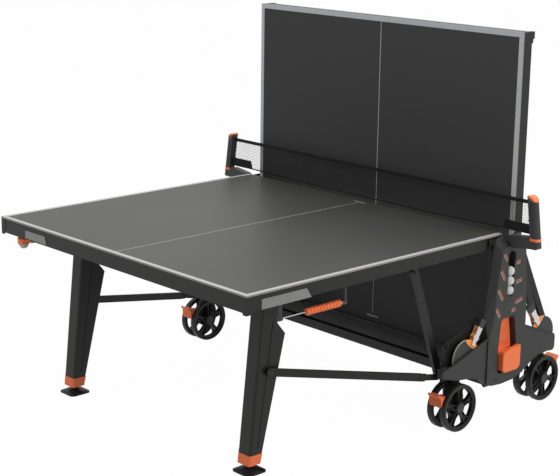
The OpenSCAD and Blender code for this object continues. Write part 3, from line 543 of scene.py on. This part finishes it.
def trim_of(node):
    """Orange bands and cap plates; a cap's slanted plate sits on a graphite block."""
    m = Maker(node + "_finish")
    low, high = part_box(node)
    x, _, z = m.axes()
    inward = m.minus(high[0], m.math("ABSOLUTE", x))
    above = m.minus(z, m.plus(m.times(inward, PLATE_SLANT), high[2] - PLATE_DEEP))
    block = m.times(m.under(above, 0), m.over(z, low[2] + BANDS_TOP, soft=0.005))
    fine, tone = mould_tone(m)
    seam = m.within(above, -SEAM_HALF, SEAM_HALF)
    m.bump(m.minus(m.times(fine, 0.15), seam), strength=0.3, distance=0.0004)
    colour = m.mix(block, m.tint(tone, ORANGE_SHADES), m.tint(tone, GRAPHITE_SHADES))
    return m.finish(colour, rough=m.spread(tone, 0.36, 0.5))


# the wire shows between its two brackets and below their arms
BRACKET_WIDE, ARMS_FROM = 0.014, 0.0125
WIRE_SHADES = ((0.55, 0.55, 0.54, 1), (0.72, 0.72, 0.71, 1))
BRACKET_SHADES = ((0.010, 0.010, 0.010, 1), (0.018, 0.018, 0.017, 1))


def score_wire_of(node):
    """Bright drawn wire between two black brackets."""
    m = Maker(node + "_finish")
    low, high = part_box(node)
    _, y, z = m.axes()
    wire = m.times(m.within(y, low[1] + BRACKET_WIDE, high[1] - BRACKET_WIDE),
                   m.under(z, low[2] + ARMS_FROM, soft=0.0005))
    streak = m.noise(160, rough=0.6, vector=m.stretched((1, 12, 1)))
    colour = m.mix(wire, m.tint(streak, BRACKET_SHADES), m.tint(streak, WIRE_SHADES))
    m.bump(streak, strength=0.05, distance=0.0001)
    return m.finish(colour, rough=m.spread(streak, 0.32, 0.44), metal=wire)


# ---------- a finish for each node ----------

# nodes that need a material of their own, by the start of their name
OWN_FINISH = {
    "board": board_of, "net_post_trim": trim_of, "score_wire": score_wire_of, "bat_front": bat_of,
    "bat_rear": bat_of, "caster_wheels": wheel_of, "release_lever": lever_of,
}
# shared materials; the longest key that starts a node's name holds
FINISH = {
    "end_apron": COAT, "side_aprons": COAT, "rails": COAT, "leg_left": COAT, "leg_right": COAT,
    "tie_bar": COAT, "strut": COAT, "cross_beams": COAT,
    "leg_collars": ORANGE, "brake_pedal": ORANGE, "score_beads": ORANGE, "ball_clip": ORANGE,
    "foot_left": BLACK, "foot_right": BLACK, "side_frame": BLACK, "caster_fork": BLACK,
    "rollers": DEEP, "bat_rack": DEEP, "net": DEEP,
    "side_housing": GRAPHITE, "net_post": GRAPHITE,
    "ball_stack": BALL, "clip_ball": BALL,
}


def finish_of(node):
    """The node's own material where it has one, or else the shared one."""
    own = next((OWN_FINISH[key] for key in OWN_FINISH if node.startswith(key)), None)
    if own:
        return own(node)
    return FINISH[max((key for key in FINISH if node.startswith(key)), key=len)]


def dress(node):
    """Gives a node of the solids its one material in all its slots."""
    material = finish_of(node)
    slots = NODES[node].data.materials
    for i in range(len(slots)):
        slots[i] = material
    if not len(slots):
        slots.append(material)


for name in NODES:
    dress(name)


# ---------- pieces that the solids leave to this scene ----------

class Shell:
    """Collects closed prisms and revolved forms into one list of points and faces."""

    def __init__(self):
        self.verts, self.faces = [], []

    def prism(self, outline, axis, low, high):
        """Extrudes a 2-D outline along an axis; the outline's two values are the other axes in order."""
        first, count = len(self.verts), len(outline)
        for depth in (low, high):
            for u, v in outline:
                point = [u, v]
                point.insert(axis, depth)
                self.verts.append(tuple(point))
        self.faces.append(tuple(range(first, first + count)))
        self.faces.append(tuple(range(first + 2 * count - 1, first + count - 1, -1)))
        for i in range(count):
            j = (i + 1) % count
            self.faces.append((first + i, first + j, first + count + j, first + count + i))

    def turned(self, profile, place, axis, steps):
        """Revolves (radius, height) pairs about an axis direction from a place."""
        lift = Vector((0, 0, 1)).rotation_difference(Vector(axis)).to_matrix()
        first, rings = len(self.verts), len(profile)
        for radius, height in profile:
            for k in range(steps):
                a = 2 * math.pi * k / steps
                point = lift @ Vector((radius * math.cos(a), radius * math.sin(a), height)) + Vector(place)
                self.verts.append(tuple(point))
        for r in range(rings - 1):
            for k in range(steps):
                n = (k + 1) % steps
                self.faces.append((first + r * steps + k, first + r * steps + n,
                                   first + (r + 1) * steps + n, first + (r + 1) * steps + k))
        self.faces.append(tuple(first + k for k in range(steps)))
        self.faces.append(tuple(first + (rings - 1) * steps + k for k in range(steps - 1, -1, -1)))


def new_piece(name, body, material, shell):
    """An object from a shell's points and faces that rides on a body."""
    mesh = bpy.data.meshes.new(name)
    mesh.from_pydata(shell.verts, [], shell.faces)
    work = bmesh.new()
    work.from_mesh(mesh)
    bmesh.ops.recalc_face_normals(work, faces=work.faces)
    work.to_mesh(mesh)
    work.free()
    mesh.materials.append(material)
    obj = bpy.data.objects.new(name, mesh)
    bpy.context.scene.collection.objects.link(obj)
    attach(obj, body)
    return obj


def block_outline(u, v, wide_u, wide_v):
    """The four corners of a rectangle round a point."""
    du, dv = wide_u / 2, wide_v / 2
    return [(u - du, v - dv), (u + du, v - dv), (u + du, v + dv), (u - du, v + dv)]


# ---------- net ----------

NET_TOP = NET_HIGH[2]
# inner edge of the right-hand post at its foot and at its head (x, z), and the sheet's gap to it
POST_FOOT, POST_HEAD, POST_GAP = (0.908, 0.722), (0.878, 0.937), 0.0004
POST_LEAN = (POST_FOOT[0] - POST_HEAD[0]) / (POST_HEAD[1] - POST_FOOT[1])
# size of the mesh, and thickness of its upright and level cords
PITCH, WARP, WEFT = 0.0070, 0.00045, 0.0011
# an upright cord at a post ends this far below the post's leaning edge
CORD_SHORT = 0.001
# height of the tape, and half its thickness and the hem's
TAPE_TALL, TAPE_HALF = 0.015, 0.0013
# depths below the tape's top at which its sides bend in and its crest begins, the crest's share of its
# width, and the depth of the groove in its foot
FOLD_DEEP, CREST_DEEP, CREST_SHARE, GROOVE_DEEP = 0.002, 0.0005, 0.6, 0.002
# height of the hem's lower edge, half its level stretch, its rise to the patches, its own height
HEM_Z, HEM_FLAT, HEM_RISE, HEM_TALL = 0.7715, 0.40, 0.0075, 0.0050
# foot and top of the end patches' slanted edge, their height, the level of their foot, half their thickness
PATCH = (0.752, 0.766, 0.039)
PATCH_Z, PATCH_HALF = 0.779, 0.0014
# tension button: its profile as (radius, height); its height over the floor, its distance from the post,
# its seat before the sheet's middle, and its number of sides
BUTTON = [(0.0042, 0), (0.0042, 0.0016), (0.0032, 0.0026)]
BUTTON_Z, BUTTON_IN, BUTTON_SEAT, BUTTON_STEPS = 0.832, 0.010, 0.0016, 16


def reach(z):
    """Half the sheet's width at a height, where the leaning posts end it."""
    return POST_FOOT[0] - POST_LEAN * (z - POST_FOOT[1]) - POST_GAP


def foot(x):
    """Height of the hem's lower edge, which rises a little to the end patches."""
    return HEM_Z + HEM_RISE * min(1.0, max(0.0, (abs(x) - HEM_FLAT) / (PATCH[0] - HEM_FLAT)))


def net_threads():
    """Open mesh: upright cords cut at the posts, then level ones from post to post."""
    mesh = Shell()
    below_tape = NET_TOP - TAPE_TALL
    count = int(reach(PATCH_Z) / PITCH)
    for k in range(-count, count + 1):
        x = k * PITCH
        start = foot(x) if abs(x) < PATCH[0] else PATCH_Z
        stop = below_tape
        if abs(x) > reach(stop):
            stop = POST_FOOT[1] + (POST_FOOT[0] - abs(x)) / POST_LEAN - CORD_SHORT
        if stop - start > PITCH / 2:
            mesh.prism(block_outline(x, NET_Y, WARP, WARP), 2, start, stop)
    z = foot(PATCH[0]) + PITCH
    while z < below_tape:
        mesh.prism(block_outline(NET_Y, z, WARP, WEFT), 0, -reach(z), reach(z))
        z += PITCH
    return new_piece("net_threads", "chassis", NET_CORD, mesh)


def net_tape():
    """Tape folded over the top cord, with a rounded crest."""
    edge, fold, crest = NET_TOP - TAPE_TALL, NET_TOP - FOLD_DEEP, NET_TOP - CREST_DEEP
    back = [(-TAPE_HALF, edge), (-TAPE_HALF, fold), (-TAPE_HALF * CREST_SHARE, crest)]
    front = [(-y, z) for y, z in reversed(back)]
    around = back + [(0, NET_TOP)] + front + [(0, edge + GROOVE_DEEP)]
    outline = [(NET_Y + y, z) for y, z in around]
    tape = Shell()
    tape.prism(outline, 0, -reach(NET_TOP), reach(NET_TOP))
    return new_piece("net_tape", "chassis", NET_TAPE, tape)


def net_hem():
    """Lower band in three straight stretches, and a patch at each end."""
    hem = Shell()
    bends = [-PATCH[0], -HEM_FLAT, HEM_FLAT, PATCH[0]]
    for x0, x1 in zip(bends, bends[1:]):
        hem.prism([(x0, foot(x0)), (x1, foot(x1)), (x1, foot(x1) + HEM_TALL), (x0, foot(x0) + HEM_TALL)],
                  1, NET_Y - TAPE_HALF, NET_Y + TAPE_HALF)
    patch_top = PATCH_Z + PATCH[2]
    for side in (-1, 1):
        patch = [(side * reach(PATCH_Z), PATCH_Z), (side * PATCH[0], PATCH_Z),
                 (side * PATCH[1], patch_top), (side * reach(patch_top), patch_top)]
        hem.prism(patch, 1, NET_Y - PATCH_HALF, NET_Y + PATCH_HALF)
    return new_piece("net_hem", "chassis", NET_TAPE, hem)


def make_net():
    """The mesh with its tape and hem, which stand for the net's solid, and its tension button."""
    threads, tape, hem = net_threads(), net_tape(), net_hem()
    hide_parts("net")
    button = Shell()
    seat = (reach(BUTTON_Z) - BUTTON_IN, NET_Y - BUTTON_SEAT, BUTTON_Z)
    button.turned(BUTTON, seat, (0, -1, 0), BUTTON_STEPS)
    new_piece("net_tension_button", "chassis", ORANGE, button)


make_net()


# ---------- plates ----------

# corners of the plate on the end apron (x, z), and how far it stands proud of the apron and goes into it
END_PLATE = [(-0.587, 0.701), (-0.437, 0.701), (-0.447, 0.7335), (-0.585, 0.7335)]
END_PROUD, END_IN = 0.0004, 0.0006
# plate on the side apron: its two ends from the net, its lower and upper edge, the slant of its far end
SIDE_NEAR, SIDE_FAR, SIDE_LOW, SIDE_HIGH, SIDE_SLANT = -1.313, -1.075, 0.698, 0.735, 0.024
# how far it goes into the apron and stands proud of it
SIDE_IN, SIDE_PROUD = 0.0006, 0.0009


def make_plates():
    """Two bare silver plates: one on the end apron, one on the side apron."""
    end = Shell()
    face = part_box("end_apron_front")[0][1]
    end.prism(END_PLATE, 1, face - END_PROUD, face + END_IN)
    side = Shell()
    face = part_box("side_aprons_front")[1][0]
    near, far = NET_Y + SIDE_NEAR, NET_Y + SIDE_FAR
    side.prism([(near, SIDE_LOW), (far, SIDE_LOW), (far - SIDE_SLANT, SIDE_HIGH), (near, SIDE_HIGH)],
               0, face - SIDE_IN, face + SIDE_PROUD)
    for name, shell in (("end_plate", end), ("side_plate", side)):
        new_piece(name, "top_front", SILVER, shell)


make_plates()


# ---------- wing rims ----------

# top edge of the front and rear wings, as distance from the net and height, down to the tip
WING_EDGE = {
    "front": [(0.092, 0.350), (0.130, 0.347), (0.330, 0.281), (0.3875, 0.2722)],
    "rear": [(0.118, 0.361), (0.289, 0.291), (0.3205, 0.280)],
}
# from the middle: a little inside the wing's outer face, and a little outside the bat rack's edge
WING_X, RACK_X = 0.7998, 0.7757
# width and height of the lip, depth of the web along the wing, and the level of its foot
RIM_WIDE, RIM_TALL, TIP_DEEP, TIP_FLOOR = 0.0055, 0.0035, 0.036, 0.246


def wing_rim(edge, side):
    """Rolled lip outside a wing's top edge, and the web that closes the wing's tip."""
    rim = Shell()
    lip = sorted((side * WING_X, side * (WING_X + RIM_WIDE)))
    for a, b in zip(edge, edge[1:]):
        rim.prism([a, b, (b[0], b[1] - RIM_TALL), (a[0], a[1] - RIM_TALL)], 0, *lip)
    (back_y, back_z), (tip_y, tip_z) = edge[-2:]
    share = TIP_DEEP / abs(back_y - tip_y)
    inner = (tip_y + (back_y - tip_y) * share, tip_z + (back_z - tip_z) * share)
    web = sorted((side * RACK_X, side * WING_X))
    rim.prism([(tip_y, tip_z), inner, (inner[0], TIP_FLOOR), (tip_y, TIP_FLOOR)], 0, *web)
    return rim


def make_wing_rims():
    """The four wings' rims, as one piece each."""
    for side, side_name in zip((-1, 1), SIDES):
        for way, end in zip((-1, 1), ENDS):
            edge = [(NET_Y + way * y, z) for y, z in WING_EDGE[end]]
            name = "wing_rim_%s_%s" % (side_name, end)
            new_piece(name, "chassis", GRAPHITE, wing_rim(edge, side))


make_wing_rims()


# ---------- stripes ----------

# centre from the net and above the floor, angle in degrees, length: pairs of bars, orange above grey
BARS = [(-0.036, 0.672, -58, 0.040), (-0.048, 0.600, -58, 0.052), (-0.058, 0.520, -58, 0.060),
        (-0.068, 0.446, -58, 0.050), (0.046, 0.640, 12, 0.030), (0.056, 0.560, 12, 0.040),
        (0.062, 0.476, 12, 0.050), (0.030, 0.442, 12, 0.030)]
# width of a bar, shift of the two bars from their pair's centre, and how far they go in and stand proud
BAR_WIDE, BAR_SHIFT, BAR_IN, BAR_PROUD = 0.0045, 0.0045, 0.0002, 0.0003


def bar_outline(y, z, angle, length):
    """A short bar with slanted ends round (y, z), its angle in radians from level."""
    half, wide = length / 2, BAR_WIDE
    corners = [(-half, -wide / 2), (half - wide, -wide / 2), (half, wide / 2), (wide - half, wide / 2)]
    cos, sin = math.cos(angle), math.sin(angle)
    return [(y + u * cos - v * sin, z + u * sin + v * cos) for u, v in corners]


def make_stripes():
    """Plain paired bars on each housing, thin as a transfer."""
    for side in SIDES:
        low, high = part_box("side_housing_" + side)
        out = 1 if side == "right" else -1
        face = high[0] if side == "right" else low[0]
        for tint, shift in (("orange", BAR_SHIFT), ("grey", -BAR_SHIFT)):
            marks = Shell()
            for y, z, angle, length in BARS:
                a = math.radians(angle)
                outline = bar_outline(NET_Y + y - shift * math.sin(a), z + shift * math.cos(a), a, length)
                marks.prism(outline, 0, face - out * BAR_IN, face + out * BAR_PROUD)
            piece = new_piece("stripes_%s_%s" % (tint, side), "chassis", STRIPE_PAINT[tint], marks)


make_stripes()


# ---------- floor, backdrop and light ----------

# half the floor's width, and its level just below the feet
FLOOR_HALF, FLOOR_Z = 30, -0.001
FLOOR_SHADES = ((0.50, 0.50, 0.50, 1), (0.53, 0.53, 0.53, 1))
# share of white in what the camera sees of the floor; the rest is lit, and holds the shadow
FLOOR_WHITE = 0.985
# strength of the even light from the sky
SKY = 0.20
# name, place, aim, size, power, and whether shiny surfaces mirror the lamp
LAMPS = [
    ("overhead", (0.0, 1.6, 4.4), (0, 0, 0.7), (4.0, 3.0), 138, True),
    ("key_light", (-1.5, -4.2, 3.4), (0, 0, 0.6), (2.5, 2.5), 84, True),
    ("side_light", (4.6, 0.6, 2.4), (0.5, 0, 0.5), (2.2, 2.2), 110, False),
]


def seen_rays(tree):
    """1 for rays from the camera, and for those that a glossy or clear surface sends on."""
    path = tree.nodes.new("ShaderNodeLightPath")
    seen = path.outputs["Is Camera Ray"]
    for other in ("Is Glossy Ray", "Is Transmission Ray"):
        largest = tree.nodes.new("ShaderNodeMath")
        largest.operation = "MAXIMUM"
        tree.links.new(seen, largest.inputs[0])
        tree.links.new(path.outputs[other], largest.inputs[1])
        seen = largest.outputs[0]
    return seen


def floor_material():
    """Pale floor that the camera sees as white, while it keeps the object's shadow."""
    m = Maker("floor_white")
    m.finish(m.tint(m.noise(0.8, detail=2), FLOOR_SHADES), rough=0.9)
    white = m.add("ShaderNodeEmission")
    white.inputs["Strength"].default_value = 1.0
    blend = m.add("ShaderNodeMixShader")
    m.link(m.times(seen_rays(m.tree), FLOOR_WHITE), blend.inputs[0])
    m.link(m.shader.outputs[0], blend.inputs[1])
    m.link(white.outputs[0], blend.inputs[2])
    m.link(blend.outputs[0], m.tree.nodes["Material Output"].inputs["Surface"])
    return m.material


def make_floor():
    """One wide level sheet just below the feet."""
    mesh = bpy.data.meshes.new("floor")
    corners = [(x * FLOOR_HALF, y * FLOOR_HALF, FLOOR_Z) for x, y in ((-1, -1), (1, -1), (1, 1), (-1, 1))]
    mesh.from_pydata(corners, [], [(0, 1, 2, 3)])
    mesh.materials.append(floor_material())
    floor = bpy.data.objects.new("floor", mesh)
    bpy.context.scene.collection.objects.link(floor)


def make_world():
    """A dim even sky that the camera sees as white."""
    world = bpy.data.worlds.new("studio")
    bpy.context.scene.world = world
    world.use_nodes = True
    tree = world.node_tree
    light = tree.nodes["Background"]
    light.inputs["Color"].default_value = (1, 1, 1, 1)
    light.inputs["Strength"].default_value = SKY
    white = tree.nodes.new("ShaderNodeBackground")
    white.inputs["Color"].default_value = (1, 1, 1, 1)
    white.inputs["Strength"].default_value = 1.0
    mix = tree.nodes.new("ShaderNodeMixShader")
    tree.links.new(seen_rays(tree), mix.inputs[0])
    tree.links.new(light.outputs[0], mix.inputs[1])
    tree.links.new(white.outputs[0], mix.inputs[2])
    tree.links.new(mix.outputs[0], tree.nodes["World Output"].inputs["Surface"])


def make_lamp(name, place, aim, size, power, mirrored):
    """A soft rectangular lamp turned to its aim."""
    data = bpy.data.lights.new(name, "AREA")
    data.shape = "RECTANGLE"
    data.size, data.size_y = size
    data.energy = power
    obj = bpy.data.objects.new(name, data)
    bpy.context.scene.collection.objects.link(obj)
    obj.location = place
    obj.rotation_euler = (Vector(aim) - Vector(place)).to_track_quat("-Z", "Y").to_euler()
    obj.visible_glossy = mirrored


make_floor()
make_world()
for lamp in LAMPS:
    make_lamp(*lamp)

bpy.context.scene.view_settings.view_transform = "Standard"
